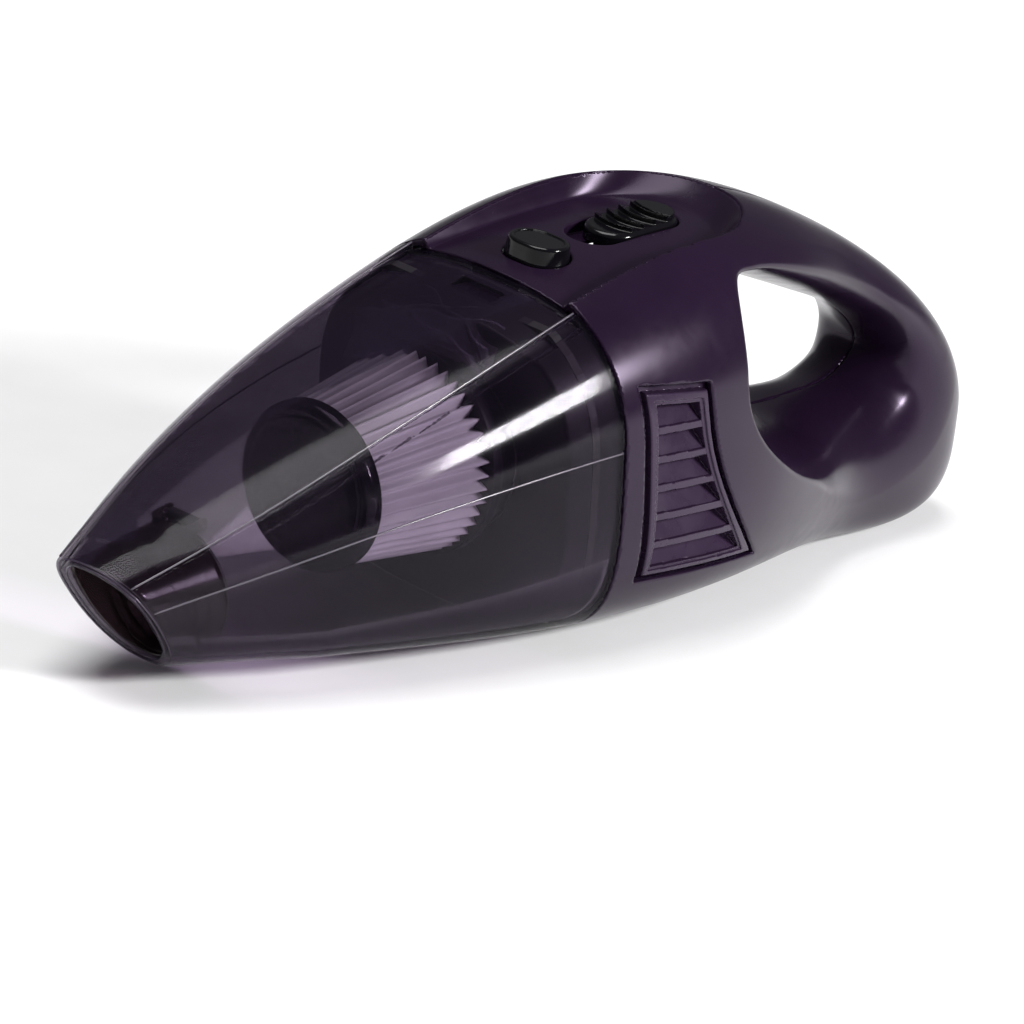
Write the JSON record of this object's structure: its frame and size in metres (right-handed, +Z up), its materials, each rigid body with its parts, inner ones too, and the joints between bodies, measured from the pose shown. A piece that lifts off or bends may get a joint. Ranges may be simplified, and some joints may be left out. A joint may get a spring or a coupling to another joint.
{
  "type": "handheld vacuum",
  "caption": "Cordless handheld vacuum with a tinted clear dust cup, pleated cone filter, louvred motor housing, sliding switch, cup release button and loop handle.",
  "frame": {"origin": "middle of the bounding box in plan, at the height of the lowest point", "axes": "+X towards the heel of the handle, so the nozzle points along -X; +Y to the side; +Z up"},
  "size_m": [0.3797, 0.1124, 0.1178],
  "materials": {
    "housing_plastic": "gloss",
    "panel_plastic": "satin gloss",
    "clear_cup": "clear tinted gloss",
    "duct_plastic": "smoked gloss",
    "black_plastic": "satin",
    "black_gloss": "gloss",
    "grey_plastic": "satin",
    "filter_cloth": "pleated paper cloth",
    "soft_rubber": "matt",
    "steel": "satin",
    "magnet": "matt",
    "copper": "satin",
    "cell_wrap": "shrink wrap",
    "board": "solder mask"
  },
  "bodies": {
    "housing": {"housing_left": "housing_plastic", "housing_right": "housing_plastic", "control_panel": "panel_plastic", "vent_grille_left": "housing_plastic", "vent_grille_right": "housing_plastic", "housing_screws": "steel", "bulkhead": "black_plastic", "cup_seal": "soft_rubber", "filter_seat": "black_plastic", "fan_shroud": "grey_plastic", "motor_can": "steel", "motor_front_bell": "steel", "motor_rear_bell": "black_plastic", "motor_magnets": "magnet", "motor_brushes": "copper", "front_motor_ring": "soft_rubber", "rear_motor_ring": "soft_rubber", "motor_screws": "steel", "battery_cells": "cell_wrap", "battery_cradle": "black_plastic", "circuit_board": "board", "charging_jack": "black_plastic", "power_switch": "black_plastic", "button_spring": "steel"},
    "dust_cup": {"cup_shell": "clear_cup", "inlet_duct": "duct_plastic", "flap_pin": "steel"},
    "flap": {"inlet_flap": "soft_rubber"},
    "filter": {"filter_cap": "black_plastic", "filter_pleats": "filter_cloth", "filter_cage": "black_plastic", "filter_collar": "black_plastic"},
    "button": {"release_button": "black_gloss", "latch_hook": "black_plastic"},
    "slider": {"slider_knob": "black_gloss", "slider_fork": "black_plastic"},
    "rotor": {"rotor_shaft": "steel", "fan_wheel": "grey_plastic", "armature_core": "copper", "commutator": "copper"}
  },
  "joints": [
    {"name": "cup_slide", "type": "slide", "parent": "housing", "child": "dust_cup", "axis": [-1, 0, 0], "range_m": [0, 0.1]},
    {"name": "flap_hinge", "type": "hinge", "parent": "dust_cup", "child": "flap", "pos_m": [-0.14967, 0, 0.04781], "axis": [0, -1, 0], "range_deg": [0, 45]},
    {"name": "filter_twist", "type": "hinge", "parent": "housing", "child": "filter", "pos_m": [-0.094, 0, 0.0493], "axis": [-0.9945, 0, -0.1045], "range_deg": [0, 60]},
    {"name": "button_press", "type": "slide", "parent": "housing", "child": "button", "axis": [0, 0, -1], "range_m": [0, 0.003], "stiffness_N_per_m": 400, "springref_m": -0.002, "deforming": ["button_spring"]},
    {"name": "power_slide", "type": "slide", "parent": "housing", "child": "slider", "axis": [-1, 0, 0], "range_m": [0, 0.008]},
    {"name": "rotor_spin", "type": "hinge", "parent": "housing", "child": "rotor", "pos_m": [0, 0, 0.037], "axis": [1, 0, 0], "continuous": true}
  ]
}
